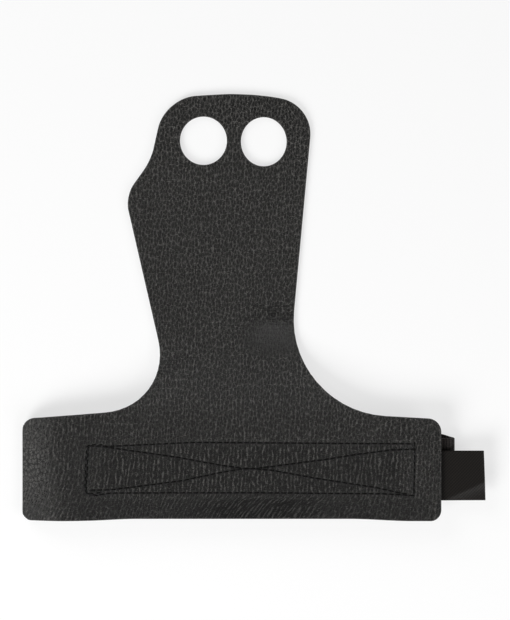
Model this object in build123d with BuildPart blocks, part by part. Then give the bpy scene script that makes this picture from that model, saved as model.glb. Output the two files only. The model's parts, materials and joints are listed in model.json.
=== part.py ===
"""A palm grip for gymnastics: one sheet of leather, cut as a palm with a wrist band, with two finger
holes, and a wrist strap of loop tape and hook tape sewn behind the band.

It lies flat with its grain side up and its wrist loop closed.
Frame: millimetres. +X runs along the wrist band, +Y from the wrist to the fingers, +Z up. The origin
is under the middle of the box of stitching on the band, on the surface that the strap lies on.
"""

from build123d import *

import os
from math import asin, degrees

# Sheet and tape thicknesses, and the widths of the two tapes
leather = 2.2
strap = 1.6
tape = 1.6
hooks = 0.6
strap_width = 25.0
tape_width = 20.0

# Box of stitching with a cross in it, round the origin
stitch_length = 134.2
stitch_width = 20.7
stitch_line = 0.9
thread = 0.25
cross_margin = 3.0

# Wrist band: how far the left fold of the strap and the ends of the band lie past the stitching
fold_past_stitching = 12.9
band_past_fold = 13.7
band_past_stitching = 10.6
band_front = 21.4
band_rear = 20.2
wing_rise = 5.5
front_corner_radius = 4.0
rear_corner_radius = 5.5

# Neck, palm and finger end, seen from above
neck_left = 32.5
neck_right = 14.0
neck_left_radius = 23.0
neck_right_radius = 39.0
palm_reach = 154.0
thumb_reach = 51.6
thumb_setback = 42.4
thumb_radius = 9.0
notch_reach = 41.3
notch_setback = 27.1
notch_radius = 20.0
tip_left = 34.7
tip_left_drop = 1.1
tip_right = 24.9
tip_right_drop = 2.0
tip_left_radius = 16.0
tip_right_radius = 15.0
tip_crown_shift = 8.0
tip_crown_rise = 0.6
tip_crown_radius = 60.0

# Finger holes
hole_radius = 9.75
hole_spacing = 24.8
hole_setback = 19.8
hole_shift = 7.2

# Side profile: the band rides on the strap, and the palm comes down to lie flat
slope_start = 31.0
slope_end = 52.0
slope_radius = 25.0
droop_lead = 1.0
droop_height = 1.7
droop_radius = 12.0

# Flex lines across the leather, where it folds. Two round noses face each other at each of them.
palm_flex = 60.0
finger_flex_setback = 38.0
nose_gap = 0.3

# Wrist loop: the free height inside it, and the fold of its free end past the right end of the band
wrist_gap = 4.8
fold_past_band = 5.9
flap_past_sewn_end = 3.0
closure_gap = 0.5

# Hook tab: it is butted against the sewn strap, and its tip hinges just past the end of the band
tab_root_cover = 19.7
tab_butt_gap = 0.3
tab_tip_length = 17.0
tab_shift = 3.1
tab_edge_clearance = 0.5
tab_corner_radius = 0.8

# Levels and places that follow from the sizes above
strap_fold_left = stitch_length / 2 + fold_past_stitching
band_left = strap_fold_left + band_past_fold
band_right = stitch_length / 2 + band_past_stitching
strap_fold_right = band_right + fold_past_band
sewn_end = band_right - tab_root_cover
flap_end = sewn_end + flap_past_sewn_end
droop_start = strap_fold_left - droop_lead
neck_corner = band_rear + wing_rise
band_underside = wrist_gap + 2 * strap
band_top = band_underside + leather
band_level = band_underside + leather / 2
sewn_level = band_underside - strap / 2
tape_underside = band_underside - tape
tape_level = band_underside - tape / 2
flap_level = tape_underside - closure_gap - strap / 2
left_fold_radius = (sewn_level - strap / 2) / 2
right_fold_radius = (flap_level - strap / 2) / 2
left_fold_centre = strap_fold_left - strap / 2 - left_fold_radius
right_fold_centre = strap_fold_right - strap / 2 - right_fold_radius
leather_pitch = leather + nose_gap
strap_pitch = strap + nose_gap
tape_pitch = tape + nose_gap
finger_flex = palm_reach - finger_flex_setback
tab_hinge = band_right + tab_edge_clearance + tape / 2
tab_end = tab_hinge + tab_tip_length
hook_start = tab_hinge + tape
hole_row = palm_reach - hole_setback
bobbin_level = tape_underside - thread

# Sharp corners of the cut sheet, each with the radius that rounds it
outline_corners = [
    ((-band_left, -band_front), front_corner_radius),
    ((band_right, -band_front), front_corner_radius),
    ((band_right, band_rear), rear_corner_radius),
    ((neck_right, neck_corner), neck_right_radius),
    ((tip_right, palm_reach - tip_right_drop), tip_right_radius),
    ((-tip_crown_shift, palm_reach + tip_crown_rise), tip_crown_radius),
    ((-tip_left, palm_reach - tip_left_drop), tip_left_radius),
    ((-notch_reach, palm_reach - notch_setback), notch_radius),
    ((-thumb_reach, palm_reach - thumb_setback), thumb_radius),
    ((-neck_left, neck_corner), neck_left_radius),
    ((-band_left, band_rear), rear_corner_radius),
]
outline_height = band_top + leather
span = band_left + band_right

os.makedirs("parts", exist_ok=True)

# The whole sheet seen from above
with BuildSketch() as outline:
    with BuildLine():
        FilletPolyline(
            [corner for corner, radius in outline_corners],
            radius=[radius for corner, radius in outline_corners],
            close=True,
        )
    make_face()

# Wrist band: level over the strap, drooping past it at the left, then the slope down to the palm
with BuildPart() as wristband_leather:
    with BuildSketch(Plane.XZ.offset(-neck_corner)):
        with BuildLine():
            FilletPolyline(
                (band_right + leather, band_level),
                (-droop_start, band_level),
                (-band_left, droop_height),
                radius=droop_radius,
            )
            offset(amount=leather / 2)
        make_face()
    extrude(amount=neck_corner + band_front)
    with BuildSketch(Plane.YZ.offset(-span / 2)):
        with BuildLine():
            FilletPolyline(
                (neck_corner, band_level),
                (slope_start, band_level),
                (slope_end, leather / 2),
                (palm_flex - leather_pitch, leather / 2),
                radius=slope_radius,
            )
            offset(amount=leather / 2)
        make_face()
    extrude(amount=span)
    extrude(outline.sketch, amount=outline_height, mode=Mode.INTERSECT)
wristband_leather.part.label = "wristband_leather"
export_step(wristband_leather.part, "parts/wristband_leather.step")

# Palm: flat on the surface, between the two flex lines
with BuildPart() as palm_leather:
    with BuildSketch(Plane.YZ.offset(-span / 2)):
        with BuildLine():
            Line((palm_flex, leather / 2), (finger_flex - leather_pitch, leather / 2))
            offset(amount=leather / 2)
        make_face()
    extrude(amount=span)
    extrude(outline.sketch, amount=outline_height, mode=Mode.INTERSECT)
palm_leather.part.label = "palm_leather"
export_step(palm_leather.part, "parts/palm_leather.step")

# Finger end, with the two finger holes side by side
with BuildPart() as finger_leather:
    with BuildSketch(Plane.YZ.offset(-span / 2)):
        with BuildLine():
            Line((finger_flex, leather / 2), (palm_reach + leather, leather / 2))
            offset(amount=leather / 2)
        make_face()
    extrude(amount=span)
    extrude(outline.sketch, amount=outline_height, mode=Mode.INTERSECT)
    with Locations((-hole_shift, hole_row, leather)):
        with GridLocations(hole_spacing, 0, 2, 1):
            Hole(radius=hole_radius)
finger_leather.part.label = "finger_leather"
export_step(finger_leather.part, "parts/finger_leather.step")

# Loop tape sewn behind the band, with the first part of the left fold
with BuildPart() as loop_strap_sewn:
    with BuildSketch(Plane.XZ):
        with BuildLine():
            fold_kept = 90 - degrees(2 * asin(strap_pitch / (2 * left_fold_radius)))
            Line((sewn_end - strap / 2, sewn_level), (-left_fold_centre, sewn_level))
            JernArc((-left_fold_centre, sewn_level), (-1, 0), left_fold_radius, fold_kept)
            offset(amount=strap / 2)
        make_face()
    extrude(amount=strap_width / 2, both=True)
loop_strap_sewn.part.label = "loop_strap_sewn"
export_step(loop_strap_sewn.part, "parts/loop_strap_sewn.step")

# The rest of the same tape: round the left fold, back under the wrist, and doubled over at the right
with BuildPart() as loop_strap_return:
    with BuildSketch(Plane.XZ):
        with BuildLine():
            fold_turn = left_fold_centre + left_fold_radius
            JernArc((-fold_turn, sewn_level - left_fold_radius), (0, -1), left_fold_radius, 90)
            Line((-left_fold_centre, strap / 2), (right_fold_centre, strap / 2))
            JernArc((right_fold_centre, strap / 2), (1, 0), right_fold_radius, 180)
            Line((right_fold_centre, flap_level), (flap_end + strap / 2, flap_level))
            offset(amount=strap / 2)
        make_face()
    extrude(amount=strap_width / 2, both=True)
loop_strap_return.part.label = "loop_strap_return"
export_step(loop_strap_return.part, "parts/loop_strap_return.step")

# Hook tape, its root sewn to the band beside the end of the loop tape
with BuildPart() as hook_tab_root:
    with BuildSketch(Plane.XZ.offset(tab_shift)):
        with BuildLine():
            root_start = sewn_end + tab_butt_gap + tape / 2
            Line((root_start, tape_level), (tab_hinge - tape_pitch, tape_level))
            offset(amount=tape / 2)
        make_face()
    extrude(amount=tape_width / 2, both=True)
hook_tab_root.part.label = "hook_tab_root"
export_step(hook_tab_root.part, "parts/hook_tab_root.step")

# The free tip of the hook tape: its woven back, and below it the field of hooks
with BuildPart() as hook_tab_tip:
    with BuildSketch(Plane.XZ.offset(tab_shift)):
        with BuildLine():
            Line((tab_hinge, tape_level), (tab_end + tape, tape_level))
            offset(amount=tape / 2)
        make_face()
    extrude(amount=tape_width / 2, both=True)
    with BuildSketch(Plane.XY.offset(tape_underside)):
        with Locations((tab_end / 2, -tab_shift)):
            RectangleRounded(tab_end, tape_width, tab_corner_radius)
    extrude(amount=tape, mode=Mode.INTERSECT)
    with BuildSketch(Plane.XY.offset(tape_underside)):
        with Locations((hook_start, -tab_shift)):
            Rectangle(tab_end, tape_width, align=(Align.MIN, Align.CENTER))
    extrude(amount=hooks, mode=Mode.SUBTRACT)
hook_tab_tip.part.label = "hook_tab_tip"
export_step(hook_tab_tip.part, "parts/hook_tab_tip.step")

with BuildPart() as hook_field:
    with BuildSketch(Plane.XY.offset(tape_underside)):
        with Locations((hook_start, -tab_shift)):
            Rectangle(tab_end - hook_start, tape_width, align=(Align.MIN, Align.CENTER))
    extrude(amount=hooks)
    fillet(hook_field.edges().filter_by(Axis.Z).group_by(Axis.X)[-1], radius=tab_corner_radius)
hook_field.part.label = "hook_field"
export_step(hook_field.part, "parts/hook_field.step")

# Stitching, one closed line round the box and a cross inside it, seen from above
with BuildSketch() as stitch_box:
    Rectangle(stitch_length + stitch_line, stitch_width + stitch_line)
    Rectangle(stitch_length - stitch_line, stitch_width - stitch_line, mode=Mode.SUBTRACT)
with BuildSketch() as stitch_cross:
    for side in (-1, 1):
        corner = (stitch_length / 2 - cross_margin, side * (stitch_width / 2 - cross_margin / 2))
        with BuildLine():
            Line((-corner[0], -corner[1]), corner)
            offset(amount=stitch_line / 2)
        make_face()

# The needle thread lies on the grain side of the leather
with BuildPart() as needle_thread_box:
    with BuildSketch(Plane.XY.offset(band_top)):
        add(stitch_box.sketch)
    extrude(amount=thread)
needle_thread_box.part.label = "needle_thread_box"
export_step(needle_thread_box.part, "parts/needle_thread_box.step")

with BuildPart() as needle_thread_cross:
    with BuildSketch(Plane.XY.offset(band_top)):
        add(stitch_cross.sketch)
    extrude(amount=thread)
needle_thread_cross.part.label = "needle_thread_cross"
export_step(needle_thread_cross.part, "parts/needle_thread_cross.step")

# The bobbin thread lies under the tapes, and under the bare leather behind the hook tape
with BuildPart() as bobbin_thread_box:
    with BuildSketch(Plane.XY.offset(bobbin_level)):
        add(stitch_box.sketch)
    extrude(amount=thread)
    with BuildSketch(Plane.XY.offset(bobbin_level)):
        with Locations((sewn_end, tape_width / 2 - tab_shift)):
            Rectangle(stitch_length, stitch_width, align=Align.MIN)
    extrude(amount=thread, mode=Mode.SUBTRACT)
    with BuildSketch(Plane.XY.offset(band_underside - thread)):
        add(stitch_box.sketch)
        with Locations((sewn_end, tape_width / 2 - tab_shift)):
            Rectangle(stitch_length, stitch_width, align=Align.MIN, mode=Mode.INTERSECT)
    extrude(amount=thread)
bobbin_thread_box.part.label = "bobbin_thread_box"
export_step(bobbin_thread_box.part, "parts/bobbin_thread_box.step")

with BuildPart() as bobbin_thread_cross:
    with BuildSketch(Plane.XY.offset(bobbin_level)):
        add(stitch_cross.sketch)
    extrude(amount=thread)
bobbin_thread_cross.part.label = "bobbin_thread_cross"
export_step(bobbin_thread_cross.part, "parts/bobbin_thread_cross.step")
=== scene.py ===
import json
from math import atan2, ceil, cos, pi, radians, sin, tan

import bmesh
import bpy
import numpy as np
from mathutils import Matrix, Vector


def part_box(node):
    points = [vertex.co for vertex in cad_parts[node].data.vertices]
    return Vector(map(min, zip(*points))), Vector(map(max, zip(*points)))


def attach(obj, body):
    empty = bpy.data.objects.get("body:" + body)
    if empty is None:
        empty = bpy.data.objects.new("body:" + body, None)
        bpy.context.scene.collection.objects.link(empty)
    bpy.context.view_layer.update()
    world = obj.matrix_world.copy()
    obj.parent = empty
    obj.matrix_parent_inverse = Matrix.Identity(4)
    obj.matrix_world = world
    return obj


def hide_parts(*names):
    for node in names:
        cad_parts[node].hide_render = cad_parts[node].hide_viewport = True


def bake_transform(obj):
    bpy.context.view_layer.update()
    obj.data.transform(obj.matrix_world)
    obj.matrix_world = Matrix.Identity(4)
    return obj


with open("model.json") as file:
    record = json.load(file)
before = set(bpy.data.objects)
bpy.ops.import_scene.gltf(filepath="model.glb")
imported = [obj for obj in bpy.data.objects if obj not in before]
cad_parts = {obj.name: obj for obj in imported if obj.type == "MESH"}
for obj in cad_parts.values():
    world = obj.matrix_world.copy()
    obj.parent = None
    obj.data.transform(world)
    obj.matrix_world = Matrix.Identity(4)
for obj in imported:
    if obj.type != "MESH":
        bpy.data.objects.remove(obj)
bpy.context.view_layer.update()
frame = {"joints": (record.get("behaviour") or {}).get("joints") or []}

mm = 0.001

# ---------------------------------------------------------------------------
# The room: a pale floor, one large soft light from the front left, weaker ones from the other
# sides, and a camera that looks straight down on the grip.
# ---------------------------------------------------------------------------
hinges = {joint["name"]: Vector(joint["pos_m"]) for joint in frame["joints"]}

bpy.ops.object.select_all(action="DESELECT")
bpy.ops.mesh.primitive_plane_add(size=6)
floor = bpy.context.object
floor.name = "floor"


def new_material(name):
    """An empty node material with a Principled shader; gives the material, its tree and the shader."""
    material = bpy.data.materials.new(name)
    material.use_nodes = True
    return material, material.node_tree, material.node_tree.nodes["Principled BSDF"]


def node(tree, kind, inputs=None, **settings):
    """One shader node. An input's value is a plain value, or another node's output to link from."""
    made = tree.nodes.new(kind)
    for name, value in settings.items():
        setattr(made, name, value)
    for name, value in (inputs or {}).items():
        if isinstance(value, bpy.types.NodeSocket):
            tree.links.new(value, made.inputs[name])
        else:
            made.inputs[name].default_value = value
    return made


# The floor is white acrylic with a weak light below it, which keeps the shadows pale
acrylic, tree, shader = new_material("white_acrylic")
mottle = node(tree, "ShaderNodeTexNoise", {"Scale": 3.0, "Detail": 2.0})
tint = node(tree, "ShaderNodeMixRGB", {
    "Fac": mottle.outputs["Fac"], "Color1": (0.277, 0.277, 0.277, 1), "Color2": (0.283, 0.283, 0.283, 1)})
tree.links.new(tint.outputs["Color"], shader.inputs["Base Color"])
shader.inputs["Roughness"].default_value = 0.9
shader.inputs["Specular IOR Level"].default_value = 0.1
shader.inputs["Emission Color"].default_value = (1, 1, 1, 1)
shader.inputs["Emission Strength"].default_value = 0.650
floor.data.materials.append(acrylic)

world = bpy.data.worlds.new("studio")
world.use_nodes = True
world.node_tree.nodes["Background"].inputs["Color"].default_value = (1, 1, 1, 1)
world.node_tree.nodes["Background"].inputs["Strength"].default_value = 0.14
bpy.context.scene.world = world
bpy.context.scene.view_settings.view_transform = "Standard"

# The lamps and the camera all point at the middle of the grip
grip_middle = Vector((1.6 * mm, 64.8 * mm, 5.0 * mm))
for name, place, size, power in (
    ("key_front_left", (-0.72, -0.90, 0.90), 0.8, 25.5),
    ("fill_back_left", (-0.80, 0.95, 0.90), 0.9, 7.0),
    ("fill_right", (0.95, -0.55, 0.85), 0.8, 8.0),
):
    bpy.ops.object.light_add(type="AREA", location=place)
    lamp = bpy.context.object
    lamp.name = name
    lamp.data.size = size
    lamp.data.energy = power
    lamp.rotation_euler = (grip_middle - Vector(place)).to_track_quat("-Z", "Y").to_euler()

camera_level = 1.2
view_height = 254.2 * mm
bpy.ops.object.camera_add(location=(grip_middle.x, grip_middle.y, camera_level), rotation=(0, 0, 0))
camera = bpy.context.object
camera.name = "camera_above"
camera.data.lens = camera.data.sensor_width * (camera_level - grip_middle.z) / view_height
bpy.context.scene.camera = camera

# ---------------------------------------------------------------------------
# The leather: one sheet of black pebbled cowhide, cut as a palm with a wrist band, with two holes
# punched for the fingers. It rides over the wrist strap, slopes down to the palm, and lies flat.
# ---------------------------------------------------------------------------
band_low, band_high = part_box("wristband_leather")
palm_low, palm_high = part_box("palm_leather")
strap_low, strap_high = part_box("loop_strap_return")
sheet = palm_high.z - palm_low.z
rest_level = sheet / 2
band_level = band_high.z - sheet / 2
palm_hinge = hinges["palm_flex"].y
finger_hinge = hinges["finger_flex"].y

# Sharp corners of the cut, each with the radius that rounds it: the band's front, its right end,
# up the right side of the palm, over the finger end, and down past the thumb to the band again
band_rear = 20.2 * mm
cut_corners = [
    (Vector((band_low.x, band_low.y, 0)), 4.0 * mm),
    (Vector((band_high.x, band_low.y, 0)), 4.5 * mm),
    (Vector((band_high.x, band_rear, 0)), 5.5 * mm),
    (Vector((13.9 * mm, 23.8 * mm, 0)), 39.5 * mm),
    (Vector((25.6 * mm, 149.3 * mm, 0)), 14.7 * mm),
    (Vector((-0.5 * mm, 154.2 * mm, 0)), 95.0 * mm),
    (Vector((-35.5 * mm, 152.1 * mm, 0)), 17.0 * mm),
    (Vector((-41.2 * mm, 126.4 * mm, 0)), 24.0 * mm),
    (Vector((-51.8 * mm, 111.6 * mm, 0)), 13.0 * mm),
    (Vector((-31.9 * mm, 25.1 * mm, 0)), 24.0 * mm),
    (Vector((band_low.x, band_rear, 0)), 5.5 * mm),
]
bpy.ops.object.select_all(action="DESELECT")
bpy.ops.mesh.primitive_circle_add(vertices=len(cut_corners), radius=0.1, fill_type="NGON")
leather = bpy.context.object
leather.name = "leather"
for vertex, (corner, radius) in zip(leather.data.vertices, cut_corners):
    vertex.co = corner

bpy.ops.object.mode_set(mode="EDIT")
bpy.ops.mesh.select_mode(type="VERT")
for index, (corner, radius) in enumerate(cut_corners):
    before = cut_corners[index - 1][0] - corner
    after = cut_corners[(index + 1) % len(cut_corners)][0] - corner
    edit = bmesh.from_edit_mesh(leather.data)
    for vertex in edit.verts:
        vertex.select = (vertex.co - corner).length < 1e-6
    edit.select_flush_mode()
    bmesh.update_edit_mesh(leather.data)
    bpy.ops.mesh.bevel(
        offset=radius / tan(before.angle(after) / 2), segments=14, profile=0.5, affect="VERTICES"
    )
bpy.ops.mesh.select_all(action="SELECT")
bpy.ops.mesh.extrude_region_move(TRANSFORM_OT_translate={"value": (0, 0, sheet)})
bpy.ops.mesh.select_all(action="SELECT")
bpy.ops.mesh.normals_make_consistent(inside=False)
bpy.ops.object.mode_set(mode="OBJECT")


def select_only(piece):
    """Selects one piece and makes it the active one."""
    bpy.ops.object.select_all(action="DESELECT")
    piece.select_set(True)
    bpy.context.view_layer.objects.active = piece


def copy_of(piece):
    """A copy of a piece with a mesh of its own."""
    made = piece.copy()
    made.data = piece.data.copy()
    bpy.context.collection.objects.link(made)
    return made


def apply_modifier(piece, kind, **settings):
    """Adds a modifier to a piece and applies it."""
    select_only(piece)
    modifier = piece.modifiers.new(kind.lower(), kind)
    for name, value in settings.items():
        setattr(modifier, name, value)
    bpy.ops.object.modifier_apply(modifier=modifier.name)


# The holes are a little longer along the palm than across it; places and half widths in millimetres
finger_holes = (((-19.6, 134.4), 9.65, 9.95), ((5.2, 134.0), 9.4, 10.1))
for place, half_width, half_length in finger_holes:
    bpy.ops.mesh.primitive_cylinder_add(
        vertices=72, radius=1, depth=4 * sheet, location=(place[0] * mm, place[1] * mm, 0),
        scale=(half_width * mm, half_length * mm, 1),
    )
    punch = bpy.context.object
    apply_modifier(leather, "BOOLEAN", operation="DIFFERENCE", object=punch, solver="EXACT")
    bpy.data.objects.remove(punch)

# Even small faces all over, laid back on the cut shape, with softly rounded edges
cut_shape = copy_of(leather)
cell = 0.6 * mm
apply_modifier(leather, "REMESH", mode="VOXEL", voxel_size=cell, use_smooth_shade=True)
apply_modifier(leather, "SMOOTH", factor=0.5, iterations=4)
apply_modifier(leather, "SHRINKWRAP", target=cut_shape, wrap_method="NEAREST_SURFACEPOINT")
apply_modifier(leather, "SMOOTH", factor=0.5, iterations=1)
bpy.data.objects.remove(cut_shape)


def points_of(piece):
    """A piece's vertices as an array with one row for each."""
    flat = np.empty(len(piece.data.vertices) * 3)
    piece.data.vertices.foreach_get("co", flat)
    return flat.reshape(-1, 3)


def give_points(piece, points):
    """Moves a piece's vertices to the rows of an array."""
    piece.data.vertices.foreach_set("co", points.ravel())
    piece.data.update()


def ease(value):
    """0 below 0, 1 above 1, and a smooth turn between them."""
    value = np.clip(value, 0, 1)
    return value * value * (3 - 2 * value)


def bump(value, middle, spread):
    """A rounded hill of height 1 at the middle."""
    return np.exp(-(((value - middle) / spread) ** 2))


def ripple(across, along, wave, drift):
    """Uneven ridges that run along a direction, about a wave apart, between -1 and 1."""
    phase = 2 * pi * across / wave
    bend = 2 * pi * along / drift
    return (
        np.sin(phase + 1.3 * np.sin(bend) + 0.8 * np.sin(0.37 * phase + 2.1))
        + 0.6 * np.sin(1.73 * phase + 1.9 + 1.1 * np.sin(1.31 * bend + 0.6))
        + 0.4 * np.sin(2.9 * phase + 0.4 + 0.9 * np.sin(0.83 * bend + 2.4))
    ) / 2.0


def leather_level(x, y):
    """Height of the middle of the sheet: over the strap, down the slope, and along the floor."""
    slope_foot, slope_run = 20 * mm, 37 * mm
    level = band_level + (rest_level - band_level) * ease((y - slope_foot) / slope_run)
    # The left end droops from the strap's fold almost to the floor
    droop_start, droop_run, droop_level = -77 * mm, 16.7 * mm, 1.9 * mm
    past_fold = np.clip((droop_start - x) / droop_run, 0, 1)
    droop = (0.35 * past_fold + 0.65 * past_fold**2) * (x < droop_start)
    level = level - (band_level - droop_level) * droop
    # A low crest over the fold, a trough beside it, and a front edge that lifts a little
    slant = x + 0.22 * (y + 2 * mm)
    on_band = ease((27 * mm - y) / (6 * mm))
    crest = 0.35 * mm * bump(slant, -82 * mm, 4 * mm)
    trough = 0.8 * mm * bump(slant, -72 * mm, 3.5 * mm)
    level = level + on_band * (crest - trough)
    level = level + 0.9 * mm * ease((-13.5 * mm - y) / (8 * mm)) * on_band
    undulation = ripple(x + 0.3 * y, y, 61 * mm, 87 * mm) * bump(y, 105 * mm, 45 * mm)
    return level + 0.25 * mm * (undulation + 0.5)


def puckers(x, y):
    """Small ridges and creases of the grain side, drawn up by the stitching and by use."""
    in_box = ease((67 * mm - abs(x)) / (3 * mm)) * ease((12.5 * mm - abs(y)) / (4 * mm))
    height = 0.07 * mm * in_box * ripple(x, y, 2.9 * mm, 21 * mm)
    left_end = bump(x, -75 * mm, 9 * mm) * ease((22 * mm - abs(y)) / (6 * mm))
    height = height + 0.12 * mm * left_end * ripple(x + 0.25 * y, y, 3.4 * mm, 26 * mm)
    front = bump(y, -17 * mm, 4 * mm) * bump(x, 4 * mm, 30 * mm)
    height = height + 0.11 * mm * front * ripple(x * 0.82 - y * 0.57, x, 3.1 * mm, 17 * mm)
    waist = bump(y, 64.5 * mm, 5.5 * mm) * bump(x, 9 * mm, 9 * mm)
    height = height + 0.12 * mm * waist * ripple(y + 0.12 * x, x, 2.6 * mm, 14 * mm)
    thumb_side = bump(y - 0.3 * x, 50 * mm, 4 * mm) * bump(x, -34 * mm, 6 * mm)
    return height + 0.08 * mm * thumb_side * ripple(y - 0.3 * x, x, 3.2 * mm, 15 * mm)


# The sewn lines, in millimetres from the middle of the box: once round it, and the two arms of the cross
box_line = [
    (-66.5, 9.3), (-57.8, 9.1), (-23.0, 10.7), (20.0, 10.4), (66.8, 10.1), (66.7, -0.5), (66.4, -11.0),
    (53.9, -10.3), (3.7, -9.9), (-23.0, -9.9), (-57.6, -10.0), (-63.5, -10.9), (-67.4, -10.0),
    (-66.9, 0.0), (-66.5, 9.3),
]
falling_arm = [
    (-61.0, 9.0), (-57.8, 8.6), (-48.5, 7.2), (-30.5, 4.7), (-12.5, 1.4), (-4.6, 0.25), (8.6, -0.7),
    (27.5, -4.1), (41.4, -6.3), (51.3, -7.8), (59.0, -9.6), (64.0, -10.4),
]
rising_arm = [
    (-66.0, -8.8), (-57.8, -8.7), (-48.5, -7.6), (-39.5, -6.4), (-28.0, -4.9), (-12.5, -1.6),
    (-4.6, -0.3), (3.2, 0.2), (28.7, 3.5), (43.9, 5.9), (57.0, 7.6), (66.2, 7.9),
]


def distance_to(line, x, y):
    """How far points lie from a sewn line."""
    nearest = np.full(x.shape, 1.0)
    for (x0, y0), (x1, y1) in zip(line, line[1:]):
        run = np.array([x1 - x0, y1 - y0]) * mm
        from_x, from_y = x - x0 * mm, y - y0 * mm
        share = np.clip((from_x * run[0] + from_y * run[1]) / (run @ run), 0, 1)
        nearest = np.minimum(nearest, np.hypot(from_x - share * run[0], from_y - share * run[1]))
    return nearest


# The sewing draws the band's front edge in along its middle
front_drawn_in = 0.9 * mm
flat_points = points_of(leather)
flat_points[:, 1] += front_drawn_in * ease((-14 * mm - flat_points[:, 1]) / (6 * mm)) * ease(
    (69 * mm - abs(flat_points[:, 0] + 3 * mm)) / (26 * mm))
x, y, depth = flat_points[:, 0], flat_points[:, 1], np.clip(flat_points[:, 2] / sheet, 0, 1)
near_thread = np.full(x.shape, 1.0)
for line in (box_line, falling_arm, rising_arm):
    near_thread = np.minimum(near_thread, distance_to(line, x, y))
groove_depth, groove_half_width = 0.42 * mm, 0.65 * mm
groove = groove_depth * bump(near_thread, 0, groove_half_width)

# Each point keeps its depth in the sheet, measured square to the bent sheet
step = 0.5 * mm
slope_x = (leather_level(x + step, y) - leather_level(x - step, y)) / (2 * step)
slope_y = (leather_level(x, y + step) - leather_level(x, y - step)) / (2 * step)
across = (depth - 0.5) * sheet + depth * (puckers(x, y) - groove)
length = np.sqrt(1 + slope_x**2 + slope_y**2)
give_points(leather, np.column_stack([
    x - across * slope_x / length, y - across * slope_y / length, leather_level(x, y) + across / length,
]))

# Where each point lay in the flat hide, and how the hide has been drawn: across its creases, along
# them, and how strongly. The creases stand across the band, lean over at its front, and fan out
# towards its left end.
front_lean = ease((-9 * mm - y) / (5 * mm)) * bump(x, 2 * mm, 42 * mm)
end_lean = 0.05 + ease((-50 * mm - x) / (25 * mm)) * (0.08 + 0.13 * ease((2 * mm - y) / (22 * mm)))
drawn_across = x - front_lean * 0.72 * (y + 9 * mm) - end_lean * y
within_box = ease((66 * mm - abs(x)) / (6 * mm)) * ease((11.5 * mm - abs(y)) / (3 * mm))
pull = 0.28 + ease((100 * mm - y) / (50 * mm)) * 0.06 + ease((34 * mm - y) / (16 * mm)) * (
    0.06 + 0.12 * bump(x, -74 * mm, 12 * mm))
pull = np.maximum(pull, 0.72 * within_box)
pull = np.maximum(pull, 0.95 * front_lean)
pull = pull * (1 - 0.75 * ease((-80 * mm - x) / (9 * mm)) * bump(y, 1 * mm, 13 * mm))
# The grain is pressed flat where the palm bends most, and round the left fold it is stretched and
# shiny. The colour is darker over the band and lighter on the palm, with painted shade along the
# band's front strip and in the trough beside the left fold.
flattened = ease(1.5 - np.hypot((x - 10.5 * mm) / 1.7, y - 53.5 * mm) / (7.0 * mm))
tone_and_painted_shade = 1 + 0.06 * ease((y - 20 * mm) / (15 * mm)) - 0.10 * ease((30 * mm - y) / (15 * mm)) * ease(
    (x + 85 * mm) / (20 * mm))
# Painted shade along the band's front strip
tone_and_painted_shade = tone_and_painted_shade - 0.28 * ease((-11 * mm - y) / (3 * mm)) * ease((78 * mm - abs(x)) / (15 * mm))
# Painted shade in the trough beside the left fold
tone_and_painted_shade = tone_and_painted_shade - 0.16 * bump(x, -71 * mm, 6 * mm) * ease((28 * mm - y) / (15 * mm))
flexed = bump(y - 0.12 * x, 62 * mm, 4.2 * mm) * bump(x, 10 * mm, 11 * mm)
flexed = np.maximum(flexed, 0.8 * bump(y - 0.25 * x, 50 * mm, 3 * mm) * bump(x, -34 * mm, 6 * mm))
stretched_end = ease((-79 * mm - x) / (9 * mm)) * bump(y, 2 * mm, 15 * mm)
for name, values in (
    ("flat_place", flat_points),
    ("drawn", np.column_stack([drawn_across, y, pull])),
    ("surface", np.column_stack([depth, flattened, stretched_end])),
):
    layer = leather.data.attributes.new(name, "FLOAT_VECTOR", "POINT")
    layer.data.foreach_set("vector", values.astype(np.float32).ravel())
for name, values in (("near_thread", near_thread / mm), ("flexed", flexed), ("tone_and_painted_shade", tone_and_painted_shade)):
    layer = leather.data.attributes.new(name, "FLOAT", "POINT")
    layer.data.foreach_set("value", values.astype(np.float32))


def cut_at(piece, place, direction):
    """Keeps what lies before a plane, and closes the cut."""
    select_only(piece)
    bpy.ops.object.mode_set(mode="EDIT")
    bpy.ops.mesh.select_all(action="SELECT")
    bpy.ops.mesh.bisect(plane_co=place, plane_no=direction, use_fill=True, clear_outer=True)
    bpy.ops.object.mode_set(mode="OBJECT")


# The sheet bends at the palm and again below the fingers, so it is two meshes that meet between
mid_palm = (palm_hinge + finger_hinge) / 2
finger_sheet = copy_of(leather)
leather.name = "leather_wristband"
finger_sheet.name = "leather_fingers"
cut_at(leather, (0, mid_palm, 0), (0, 1, 0))
cut_at(finger_sheet, (0, mid_palm, 0), (0, -1, 0))


def new_group(name, inputs, outputs):
    """A shader node group with its sockets; gives the group, its tree's input node and output node."""
    group = bpy.data.node_groups.new(name, "ShaderNodeTree")
    for socket, kind in inputs:
        group.interface.new_socket(name=socket, in_out="INPUT", socket_type=kind)
    for socket, kind in outputs:
        group.interface.new_socket(name=socket, in_out="OUTPUT", socket_type=kind)
    return group, group.nodes.new("NodeGroupInput"), group.nodes.new("NodeGroupOutput")


def calculate(tree, operation, first, second=0.5):
    """A Math node's result."""
    made = tree.nodes.new("ShaderNodeMath")
    made.operation = operation
    for socket, value in zip(made.inputs, (first, second)):
        if isinstance(value, bpy.types.NodeSocket):
            tree.links.new(value, socket)
        else:
            socket.default_value = value
    return made.outputs["Value"]


def weighted(tree, first, first_share, second, second_share):
    """The sum of two values, each times its share."""
    return calculate(tree, "ADD", calculate(tree, "MULTIPLY", first, first_share),
                     calculate(tree, "MULTIPLY", second, second_share))


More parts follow.
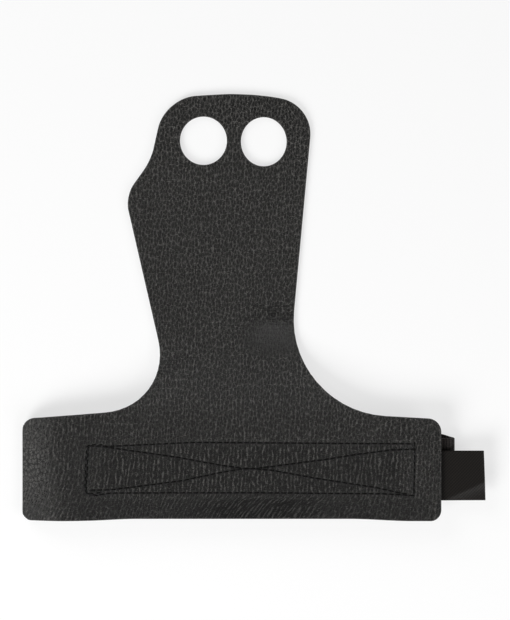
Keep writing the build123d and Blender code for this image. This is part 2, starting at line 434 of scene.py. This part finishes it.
def spread_out(tree, value, low, high, to_low=0.0, to_high=1.0):
    """A value's span from low to high turned into another span, smoothly and without going past it."""
    made = node(tree, "ShaderNodeMapRange", {"Value": value, "From Min": low, "From Max": high,
                                             "To Min": to_low, "To Max": to_high})
    made.interpolation_type = "SMOOTHSTEP"
    return made.outputs["Result"]


def stretched(tree, vector, size):
    """Coordinates counted in cells of a given size along x, y and z, in metres."""
    mapping = node(tree, "ShaderNodeMapping", {
        "Vector": vector, "Scale": [1 / length for length in size]})
    return mapping.outputs["Vector"]


def blend_colours(tree, share, first, second):
    """A colour between two others."""
    made = node(tree, "ShaderNodeMixRGB", {"Fac": share})
    for socket, value in (("Color1", first), ("Color2", second)):
        if isinstance(value, bpy.types.NodeSocket):
            tree.links.new(value, made.inputs[socket])
        else:
            made.inputs[socket].default_value = (*value, 1)
    return made.outputs["Color"]


def emboss(tree, shader, height, strength, distance):
    """Gives a shader the relief of a height."""
    relief = node(tree, "ShaderNodeBump", {"Height": height, "Strength": strength, "Distance": distance})
    tree.links.new(relief.outputs["Normal"], shader.inputs["Normal"])


# Cells of the grain: rounded pebbles with narrow creases between them. At the left end they are used
# as they are. Elsewhere they are turned over, into shallow pits inside a net of fine raised lines.
pebbles, given, result = new_group(
    "pebbles", [("Cells", "NodeSocketVector"), ("Wander", "NodeSocketFloat")],
    [("Height", "NodeSocketFloat")],
)
sway = node(pebbles, "ShaderNodeTexNoise", {"Vector": given.outputs["Cells"], "Scale": 0.8, "Detail": 3.0})
centred = node(pebbles, "ShaderNodeVectorMath", {0: sway.outputs["Color"], 1: (0.5, 0.5, 0.5)},
               operation="SUBTRACT")
scaled = node(pebbles, "ShaderNodeVectorMath",
              {0: centred.outputs["Vector"], "Scale": given.outputs["Wander"]}, operation="SCALE")
moved = node(pebbles, "ShaderNodeVectorMath",
             {0: given.outputs["Cells"], 1: scaled.outputs["Vector"]}, operation="ADD")
creases = node(pebbles, "ShaderNodeTexVoronoi", {"Vector": moved.outputs["Vector"], "Scale": 1.0},
               feature="DISTANCE_TO_EDGE", voronoi_dimensions="2D")
domes = node(pebbles, "ShaderNodeTexVoronoi",
             {"Vector": moved.outputs["Vector"], "Scale": 1.0, "Smoothness": 0.6},
             feature="SMOOTH_F1", voronoi_dimensions="2D")
raised = spread_out(pebbles, creases.outputs["Distance"], 0.0, 0.25)
crown = spread_out(pebbles, domes.outputs["Distance"], 0.70, 0.0)
pebbles.links.new(weighted(pebbles, raised, 0.45, crown, 0.55), result.inputs["Height"])

cowhide, tree, shader = new_material("black_cowhide")
position = node(tree, "ShaderNodeAttribute", attribute_name="flat_place").outputs["Vector"]
surface = node(tree, "ShaderNodeAttribute", attribute_name="surface").outputs["Vector"]
in_sheet, pressed, at_left_end = node(tree, "ShaderNodeSeparateXYZ", {"Vector": surface}).outputs[:3]
flexed = node(tree, "ShaderNodeAttribute", attribute_name="flexed").outputs["Fac"]
by_thread = node(tree, "ShaderNodeAttribute", attribute_name="near_thread").outputs["Fac"]

drawn = node(tree, "ShaderNodeAttribute", attribute_name="drawn").outputs["Vector"]
drawn_parts = node(tree, "ShaderNodeSeparateXYZ", {"Vector": drawn}).outputs
drawn_across, pull = drawn_parts["X"], drawn_parts["Z"]
level_drawn = node(tree, "ShaderNodeVectorMath", {0: drawn, 1: (1, 1, 0)},
                   operation="MULTIPLY").outputs["Vector"]

# Each cell's width, length and depth in metres
small_cell = (0.00106, 0.0020, 0.0020)
large_cell = (0.0014, 0.0017, 0.0020)
cell_wander = 0.9
small = node(tree, "ShaderNodeGroup", node_tree=pebbles)
small.inputs["Wander"].default_value = cell_wander
tree.links.new(stretched(tree, level_drawn, small_cell), small.inputs["Cells"])
large = node(tree, "ShaderNodeGroup", node_tree=pebbles)
large.inputs["Wander"].default_value = cell_wander
tree.links.new(stretched(tree, position, large_cell), large.inputs["Cells"])
net_height = calculate(tree, "SUBTRACT", 1.0, small.outputs["Height"])
pebble_height = blend_colours(tree, at_left_end, net_height, large.outputs["Height"])

# Drawn creases: uneven ridges side by side, which wander, fade and come back along their length
crease_spacing = 0.0017
wander = node(tree, "ShaderNodeTexNoise", {
    "Vector": stretched(tree, level_drawn, (0.0042, 0.0085, 0.002)), "Scale": 1.0, "Detail": 2.0})
count = weighted(tree, drawn_across, 1 / crease_spacing, wander.outputs["Fac"], 2.3)
wave = calculate(tree, "COSINE", calculate(tree, "MULTIPLY", count, 2 * pi))
fading = node(tree, "ShaderNodeTexNoise", {
    "Vector": stretched(tree, level_drawn, (0.0013, 0.0022, 0.002)), "Scale": 1.0, "Detail": 2.0})
ridges = calculate(tree, "MULTIPLY", spread_out(tree, wave, -0.5, 1.0),
                   spread_out(tree, fading.outputs["Fac"], 0.36, 0.60, 0.15, 1.0))
drawn_share = calculate(tree, "ADD", 0.10, calculate(tree, "MULTIPLY", pull, 0.65))
relief_shape = blend_colours(tree, drawn_share, pebble_height, ridges)
pores = node(tree, "ShaderNodeTexNoise", {
    "Vector": position, "Scale": 2300.0, "Detail": 3.0, "Roughness": 0.65})
pitted = spread_out(tree, pores.outputs["Fac"], 0.34, 0.66)
grain = weighted(tree, relief_shape, 0.60, pitted, 0.40)
# The relief is deepest where the hide has been drawn most
grain_middle = 0.46
deepened = spread_out(tree, pull, 0.5, 1.0, 1.0, 1.6)
grain = calculate(tree, "MULTIPLY", calculate(tree, "SUBTRACT", grain, grain_middle), deepened)
grain = calculate(tree, "ADD", grain, grain_middle)
grain = blend_colours(tree, calculate(tree, "MULTIPLY", pressed, 0.7), grain, (0.30, 0.30, 0.30))

# Flex creases: thin furrows across the palm where it has been folded
bends = node(tree, "ShaderNodeTexNoise", {
    "Vector": stretched(tree, position, (0.0085, 0.0019, 0.002)), "Scale": 1.0, "Detail": 1.0})
off_line = calculate(tree, "ABSOLUTE", calculate(tree, "SUBTRACT", bends.outputs["Fac"], 0.5))
furrow = calculate(tree, "MULTIPLY", spread_out(tree, off_line, 0.055, 0.0), flexed)
grain = calculate(tree, "SUBTRACT", grain, calculate(tree, "MULTIPLY", furrow, 0.4))

# Black hide colour: painted shade in the hollows and flex furrows of the grain, the hide's own grey on
# the raised lines, a painted highlight on the highest of them and on the stretched left end, and
# faint dark clouds
painted_shade_black = (0.0010, 0.0009, 0.0008)
raised_grey = (0.0380, 0.0367, 0.0342)
painted_highlight_grey = (0.138, 0.134, 0.126)
painted_end_highlight_grey = (0.115, 0.112, 0.105)
cloud_grey = (0.010, 0.0098, 0.0094)
thread_shadow = (0.0012, 0.0012, 0.0012)
cloudy = node(tree, "ShaderNodeTexNoise", {"Vector": position, "Scale": 38.0, "Detail": 3.0})
# Painted shade in the hollows of the grain, the hide's own grey on the raised lines
hide = blend_colours(tree, spread_out(tree, grain, 0.18, 0.62), painted_shade_black, raised_grey)
# Painted highlight on the highest raised lines
hide = blend_colours(tree, spread_out(tree, grain, 0.56, 0.84), hide, painted_highlight_grey)
# Painted highlight on the pebbles of the stretched left end
painted_end_highlight = calculate(tree, "MULTIPLY", at_left_end, spread_out(tree, grain, 0.50, 0.75, 0.0, 0.75))
hide = blend_colours(tree, painted_end_highlight, hide, painted_end_highlight_grey)
hide = blend_colours(tree, spread_out(tree, cloudy.outputs["Fac"], 0.3, 0.7, 0.0, 0.20), hide, cloud_grey)
# The colour is scaled by the band's darker tone and by the painted shade worked out on the mesh
tone_and_painted_shade_scale = node(tree, "ShaderNodeAttribute", attribute_name="tone_and_painted_shade").outputs["Fac"]
hide = node(tree, "ShaderNodeVectorMath", {0: hide, "Scale": tone_and_painted_shade_scale}, operation="SCALE").outputs["Vector"]
in_groove = spread_out(tree, by_thread, 0.75, 0.2, 0.0, 0.70)
hide = blend_colours(tree, in_groove, hide, thread_shadow)

# The cut edge shows the raw fibres, and the flesh side their nap
fibres = node(tree, "ShaderNodeTexNoise", {
    "Vector": position, "Scale": 2600.0, "Detail": 5.0, "Roughness": 0.7})
raw_edge = blend_colours(tree, fibres.outputs["Fac"], (0.012, 0.0115, 0.011), (0.060, 0.056, 0.051))
nap = node(tree, "ShaderNodeTexNoise", {
    "Vector": stretched(tree, position, (0.0007, 0.0011, 0.001)), "Scale": 1.0, "Detail": 6.0,
    "Roughness": 0.75})
flesh = blend_colours(tree, nap.outputs["Fac"], (0.016, 0.0152, 0.0145), (0.066, 0.062, 0.058))
on_grain = spread_out(tree, in_sheet, 0.80, 0.95)
on_flesh = spread_out(tree, in_sheet, 0.20, 0.05)
colour = blend_colours(tree, on_flesh, blend_colours(tree, on_grain, raw_edge, hide), flesh)
tree.links.new(colour, shader.inputs["Base Color"])

wear = spread_out(tree, grain, 0.2, 0.8, 0.30, 0.50)
wear = calculate(tree, "SUBTRACT", wear, calculate(tree, "MULTIPLY", at_left_end, 0.12))
rough = blend_colours(tree, on_grain, (0.9, 0.9, 0.9), wear)
tree.links.new(rough, shader.inputs["Roughness"])
edge_or_grain = blend_colours(tree, on_grain, fibres.outputs["Fac"], grain)
emboss(tree, shader, blend_colours(tree, on_flesh, edge_or_grain, nap.outputs["Fac"]), 1.0, 0.9 * mm)
shader.inputs["Specular IOR Level"].default_value = 0.42

for piece in (leather, finger_sheet):
    piece.data.materials.clear()
    piece.data.materials.append(cowhide)
    select_only(piece)
    bpy.ops.object.shade_smooth_by_angle(angle=radians(50))
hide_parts("wristband_leather")
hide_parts("palm_leather", "finger_leather")
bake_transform(leather)
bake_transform(finger_sheet)

# ---------------------------------------------------------------------------
# Needle thread: bonded black polyester, lockstitched through the leather and the tapes. It sinks
# into the grain side in short bars, once round the box and along both arms of the cross.
# ---------------------------------------------------------------------------
thread_radius = 0.27 * mm
stitch_pitch = 2.75 * mm
stitch_half = 1.25 * mm
stitch_sink = 0.38 * mm

bpy.ops.object.select_all(action="DESELECT")
bpy.ops.mesh.primitive_uv_sphere_add(segments=12, ring_count=10, radius=1, rotation=(0, pi / 2, 0))
one_stitch = bpy.context.object
bpy.ops.object.transform_apply(rotation=True)
bar = points_of(one_stitch)
turn = np.arctan2(bar[:, 2], bar[:, 1])
plump = (1 - abs(bar[:, 0]) ** 3) ** 0.5 / np.maximum(np.hypot(bar[:, 1], bar[:, 2]), 1e-6)
plump = np.where(abs(bar[:, 0]) > 0.999, 0, plump) * (1 + 0.13 * np.cos(3 * turn + 7 * bar[:, 0]))
bar = np.column_stack([bar[:, 0] * stitch_half, bar[:, 1] * plump * thread_radius * 1.15,
                       bar[:, 2] * plump * thread_radius - stitch_sink * bar[:, 0] ** 2])
give_points(one_stitch, bar)
bpy.ops.object.shade_smooth()


def walk(line, pitch):
    """Evenly spaced places along a sewn line, each with its heading."""
    corners = [Vector((x * mm, y * mm, 0)) for x, y in line]
    left_over = pitch / 2
    for start, end in zip(corners, corners[1:]):
        run = end - start
        travelled = left_over
        while travelled < run.length:
            yield start + run * (travelled / run.length), atan2(run.y, run.x)
            travelled += pitch
        left_over = travelled - run.length


def sew(name, lines, level, upside=1):
    """A copy of the stitch at each place along the lines, joined into one piece."""
    bpy.ops.object.select_all(action="DESELECT")
    count = 0
    for line in lines:
        for place, heading in walk(line, stitch_pitch):
            stitch = copy_of(one_stitch)
            wobble = 0.05 * sin(2.4 * count)
            stitch.location = (place.x, place.y, level(place.x, place.y))
            stitch.rotation_euler = (0 if upside > 0 else pi, 0, heading + wobble)
            stitch.select_set(True)
            bpy.context.view_layer.objects.active = stitch
            count += 1
    bpy.ops.object.join()
    row = bpy.context.object
    row.name = name
    bpy.ops.object.transform_apply(location=True, rotation=True, scale=True)
    return row


def thread_top(x, y):
    """Where the middle of a stitch lies in its groove."""
    return float(leather_level(x, y)) + sheet / 2 - 0.20 * mm


box_thread = sew("needle_stitches_box", [box_line], thread_top)
# The left end of the box is sewn twice
locked_end = [
    (-60.0, 9.7), (-65.7, 9.9), (-67.2, 8.9), (-67.6, 0.0), (-67.9, -8.6), (-66.9, -10.4), (-60.0, -9.6),
]
end_thread = sew("needle_stitches_end", [locked_end], thread_top)
cross_thread = sew("needle_stitches_cross", [falling_arm, rising_arm], thread_top)

thread_stuff, tree, shader = new_material("bonded_thread")
place = node(tree, "ShaderNodeTexCoord").outputs["Object"]
plies = node(tree, "ShaderNodeTexNoise", {"Vector": place, "Scale": 2500.0, "Detail": 3.0})
thread_black = blend_colours(tree, plies.outputs["Fac"], (0.0010, 0.0010, 0.0010), (0.0060, 0.0058, 0.0056))
tree.links.new(thread_black, shader.inputs["Base Color"])
tree.links.new(spread_out(tree, plies.outputs["Fac"], 0.3, 0.7, 0.45, 0.65), shader.inputs["Roughness"])
emboss(tree, shader, plies.outputs["Fac"], 0.4, 0.05 * mm)
shader.inputs["Specular IOR Level"].default_value = 0.15
for piece in (box_thread, end_thread, cross_thread):
    piece.data.materials.append(thread_stuff)
    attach(piece, "band")
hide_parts("needle_thread_box")
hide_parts("needle_thread_cross")

# ---------------------------------------------------------------------------
# Wrist strap: black nylon loop tape, 25 mm wide, with the looped pile outside. It is sewn behind
# the band, folds round at the left, comes back under the wrist, and is doubled over at the right.
# ---------------------------------------------------------------------------
sewn_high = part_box("loop_strap_sewn")[1]
strap = 1.6 * mm
strap_width = strap_high.y - strap_low.y
sewn_level = sewn_high.z - strap / 2
return_level = strap_low.z + strap / 2
left_radius = (sewn_level - return_level) / 2
left_centre = Vector((hinges["strap_open"].x + left_radius, (sewn_level + return_level) / 2))
flap_level = strap_high.z - strap / 2
right_radius = (flap_level - return_level) / 2
right_centre = Vector((strap_high.x - strap / 2 - right_radius, (flap_level + return_level) / 2))
strap_joint = 40 * mm
flap_end = 61.0 * mm


def straight(start, end):
    """A straight leg of a tape's path in the XZ plane: its length, and its place at a share of it."""
    start, end = Vector(start), Vector(end)
    return (end - start).length, lambda share: start.lerp(end, share)


def turned(centre, radius, first, last):
    """A round leg of a tape's path, from one angle to another."""
    return abs(last - first) * radius, lambda share: centre + radius * Vector(
        (cos(first + (last - first) * share), sin(first + (last - first) * share)))


def lay_tape(name, legs, width, thick, cell, middle=0.0):
    """A flat grid laid along a path, given the tape's thickness, with its edges softened."""
    length = sum(leg[0] for leg in legs)
    bpy.ops.object.select_all(action="DESELECT")
    bpy.ops.mesh.primitive_grid_add(
        x_subdivisions=ceil(length / cell), y_subdivisions=ceil(width / cell), size=1)
    tape = bpy.context.object
    tape.name = name
    for vertex in tape.data.vertices:
        travelled = (vertex.co.x + 0.5) * length
        for leg_length, place in legs:
            if travelled <= leg_length + 1e-9:
                break
            travelled -= leg_length
        point = place(min(travelled / leg_length, 1))
        vertex.co = (point.x, middle + vertex.co.y * width, point.y)
    for loop in tape.data.uv_layers.active.data:
        loop.uv = (loop.uv.x * length, loop.uv.y * width)
    apply_modifier(tape, "SOLIDIFY", thickness=thick, offset=0)
    apply_modifier(tape, "BEVEL", width=0.22 * thick, segments=2, limit_method="ANGLE",
                   angle_limit=radians(60))
    bpy.ops.object.shade_smooth_by_angle(angle=radians(40))
    return tape


tape_cell = 0.5 * mm
sewn_strap = lay_tape(
    "loop_strap",
    [
        straight((sewn_high.x, sewn_level), (left_centre.x, sewn_level)),
        turned(left_centre, left_radius, pi / 2, 3 * pi / 2),
        straight((left_centre.x, return_level), (strap_joint, return_level)),
    ],
    strap_width, strap, 1.4 * tape_cell,
)
folded_strap = lay_tape(
    "loop_strap_end",
    [
        straight((strap_joint, return_level), (right_centre.x, return_level)),
        turned(right_centre, right_radius, -pi / 2, pi / 2),
        straight((right_centre.x, flap_level), (flap_end, flap_level)),
    ],
    strap_width, strap, tape_cell,
)
# The doubled end doesn't lie quite square on the strap below it
ends = points_of(folded_strap)
over = ease((ends[:, 2] - return_level) / (flap_level - return_level))
far_out = ease((ends[:, 0] - 77.5 * mm) / (6 * mm))
ends[:, 1] += (1.35 * (1 - over) * (1 - far_out) - 0.25 * over) * mm * ease(
    (ends[:, 0] - 52 * mm) / (20 * mm))
give_points(folded_strap, ends)

# Fine cloth, made of cords in two directions: a group for the strap's ribs and the hook tape's back
cloth, given, result = new_group(
    "cloth", [("Place", "NodeSocketVector"), ("Rib", "NodeSocketFloat"), ("Cord", "NodeSocketFloat")],
    [("Height", "NodeSocketFloat")],
)
parts = node(cloth, "ShaderNodeSeparateXYZ", {"Vector": given.outputs["Place"]})
waves = []
for axis, spacing in (("X", "Rib"), ("Y", "Cord")):
    turns = calculate(cloth, "DIVIDE", 2 * pi, given.outputs[spacing])
    waves.append(calculate(cloth, "SINE", calculate(cloth, "MULTIPLY", parts.outputs[axis], turns)))
woven = weighted(cloth, waves[0], 0.30, waves[1], 0.16)
cloth.links.new(calculate(cloth, "ADD", woven, 0.5), result.inputs["Height"])

loop_tape, tree, shader = new_material("black_loop_tape")
place = node(tree, "ShaderNodeUVMap").outputs["UV"]
ribbed = node(tree, "ShaderNodeGroup", node_tree=cloth)
ribbed.inputs["Rib"].default_value = 0.00105
ribbed.inputs["Cord"].default_value = 0.0008
tree.links.new(place, ribbed.inputs["Place"])
pile = node(tree, "ShaderNodeTexNoise", {"Vector": place, "Scale": 2100.0, "Detail": 4.0, "Roughness": 0.7})
nap_height = weighted(tree, ribbed.outputs["Height"], 0.30, pile.outputs["Fac"], 0.70)
tree.links.new(blend_colours(tree, spread_out(tree, nap_height, 0.3, 0.72), (0.0042, 0.0036, 0.0035),
                             (0.0390, 0.0325, 0.0310)), shader.inputs["Base Color"])
emboss(tree, shader, nap_height, 0.9, 0.35 * mm)
shader.inputs["Roughness"].default_value = 0.85
shader.inputs["Specular IOR Level"].default_value = 0.25
for piece in (sewn_strap, folded_strap):
    piece.data.materials.append(loop_tape)
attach(folded_strap, "strap")
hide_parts("loop_strap_sewn")
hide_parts("loop_strap_return")
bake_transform(sewn_strap)

# ---------------------------------------------------------------------------
# Bobbin thread: the other half of the lockstitch, on the wrist side. It crosses the strap, the
# root of the hook tape, and the bare leather behind that.
# ---------------------------------------------------------------------------
root_low, root_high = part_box("hook_tab_root")


def bobbin_level(x, y):
    """The underside that a stitch lies on: a tape's, or the leather's where no tape covers it."""
    under_tape = x < sewn_high.x or y < root_high.y
    underside = root_low.z if under_tape else band_level - sheet / 2
    return underside - 0.02 * mm


bobbin_box = sew("bobbin_stitches_box", [box_line], bobbin_level, -1)
bobbin_cross = sew("bobbin_stitches_cross", [falling_arm, rising_arm], bobbin_level, -1)
for piece in (bobbin_box, bobbin_cross):
    piece.data.materials.append(thread_stuff)
    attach(piece, "band")
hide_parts("bobbin_thread_box")
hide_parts("bobbin_thread_cross")
bpy.data.objects.remove(one_stitch)

# ---------------------------------------------------------------------------
# Hook tab: black hook tape, 20 mm wide, cut off square. Its back is a fine smooth twill, and small
# nylon hooks stand in rows on its underside. Its root is sewn under the right end of the band.
# ---------------------------------------------------------------------------
tip_low, tip_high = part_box("hook_tab_tip")
field_low, field_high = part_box("hook_field")
backing = tip_high.z - field_high.z
tab_level = tip_high.z - backing / 2
tab_middle = (tip_low.y + tip_high.y) / 2
hook_tab = lay_tape(
    "hook_tab", [straight((root_low.x, tab_level), (tip_high.x, tab_level))],
    tip_high.y - tip_low.y, backing, tape_cell, tab_middle,
)


def tab_sag(x, y):
    """How far the tab's free corner drops past a soft crease that runs up to its right."""
    past_crease = (x - 80.5 * mm) * 0.41 - (y + 12.2 * mm) * 0.91
    crease_radius = 0.35 * mm
    past_crease = np.hypot(np.maximum(past_crease, 0), crease_radius) - crease_radius
    full_drop, drop_run = 1.3 * mm, 3.6 * mm
    return full_drop * (1 - np.exp(-past_crease / drop_run)) * ease((x - 79.5 * mm) / (2 * mm))


# Its end is cut a little out of square
tab_points = points_of(hook_tab)
up_tab = (tab_points[:, 1] - tip_low.y) / (tip_high.y - tip_low.y)
tab_points[:, 0] -= 0.75 * mm * up_tab * ease((tab_points[:, 0] - 88 * mm) / (8 * mm))
tab_points[:, 1] += 0.4 * mm * up_tab
tab_points[:, 2] -= tab_sag(tab_points[:, 0], tab_points[:, 1])
give_points(hook_tab, tab_points)

twill, tree, shader = new_material("black_hook_tape")
place = node(tree, "ShaderNodeUVMap").outputs["UV"]
slanted = node(tree, "ShaderNodeMapping", {"Vector": place, "Rotation": (0, 0, radians(45))})
weave = node(tree, "ShaderNodeGroup", node_tree=cloth)
weave.inputs["Rib"].default_value = 0.00092
weave.inputs["Cord"].default_value = 0.0009
tree.links.new(slanted.outputs["Vector"], weave.inputs["Place"])
yarns = node(tree, "ShaderNodeTexNoise", {"Vector": place, "Scale": 3000.0, "Detail": 3.0})
face = weighted(tree, weave.outputs["Height"], 0.8, yarns.outputs["Fac"], 0.2)
tree.links.new(blend_colours(tree, spread_out(tree, face, 0.35, 0.65), (0.0004, 0.0003, 0.0003),
                             (0.0115, 0.0092, 0.0074)), shader.inputs["Base Color"])
tree.links.new(spread_out(tree, face, 0.2, 0.8, 0.42, 0.30), shader.inputs["Roughness"])
emboss(tree, shader, face, 0.7, 0.08 * mm)
shader.inputs["Specular IOR Level"].default_value = 0.30
hook_tab.data.materials.append(twill)
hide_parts("hook_tab_root", "hook_tab_tip")
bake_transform(hook_tab)

# One hook: a thin nylon strand that hangs from the tape and curls over, square in section
hook_height = field_high.z - field_low.z
strand = 0.13 * mm
curl_radius = 0.17 * mm
curl_begins = 0.4
bpy.ops.object.select_all(action="DESELECT")
bpy.ops.mesh.primitive_cube_add(size=1)
one_hook = bpy.context.object
bpy.ops.object.mode_set(mode="EDIT")
bpy.ops.mesh.select_all(action="DESELECT")
bpy.ops.mesh.select_mode(type="EDGE")
bpy.ops.object.mode_set(mode="OBJECT")
for edge in one_hook.data.edges:
    top, bottom = (one_hook.data.vertices[corner].co.z for corner in edge.vertices)
    edge.select = abs(top - bottom) > 0.5
bpy.ops.object.mode_set(mode="EDIT")
bpy.ops.mesh.subdivide(number_cuts=6)
bpy.ops.mesh.select_mode(type="VERT")
bpy.ops.object.mode_set(mode="OBJECT")
along = points_of(one_hook)
down = 0.5 - along[:, 2]
curl = radians(205) * np.maximum(down - curl_begins, 0) / (1 - curl_begins)
rooted = 0.05 * mm
stem = (hook_height - curl_radius - strand / 2 + rooted) * np.minimum(down / curl_begins, 1)
give_points(one_hook, np.column_stack([
    curl_radius * (1 - np.cos(curl)) + along[:, 0] * strand * np.cos(curl),
    along[:, 1] * strand,
    -stem - curl_radius * np.sin(curl) + along[:, 0] * strand * np.sin(curl),
]))

bpy.ops.object.select_all(action="DESELECT")
row_gap = 1.1 * mm
rows = int((field_high.x - field_low.x - 1.5 * mm) / row_gap)
columns = int((field_high.y - field_low.y - 2.0 * mm) / row_gap)
for row in range(rows + 1):
    for column in range(columns + 1):
        hook = copy_of(one_hook)
        x = field_low.x + 0.6 * mm + row * row_gap
        y = field_low.y + 1.0 * mm + (column + 0.5 * (row % 2)) * row_gap
        hook.location = (x, y, field_high.z + rooted - float(tab_sag(x, y)))
        hook.rotation_euler = (0, 0, 0 if column % 2 else pi)
        hook.select_set(True)
        bpy.context.view_layer.objects.active = hook
bpy.ops.object.join()
hooks = bpy.context.object
hooks.name = "hook_rows"
bpy.ops.object.transform_apply(location=True, rotation=True, scale=True)
bpy.data.objects.remove(one_hook)

nylon, tree, shader = new_material("black_nylon_hooks")
place = node(tree, "ShaderNodeTexCoord").outputs["Object"]
grey = node(tree, "ShaderNodeTexNoise", {"Vector": place, "Scale": 900.0})
nylon_black = blend_colours(tree, grey.outputs["Fac"], (0.010, 0.010, 0.010), (0.030, 0.030, 0.030))
tree.links.new(nylon_black, shader.inputs["Base Color"])
shader.inputs["Roughness"].default_value = 0.4
hooks.data.materials.append(nylon)
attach(hooks, "tab")
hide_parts("hook_field")
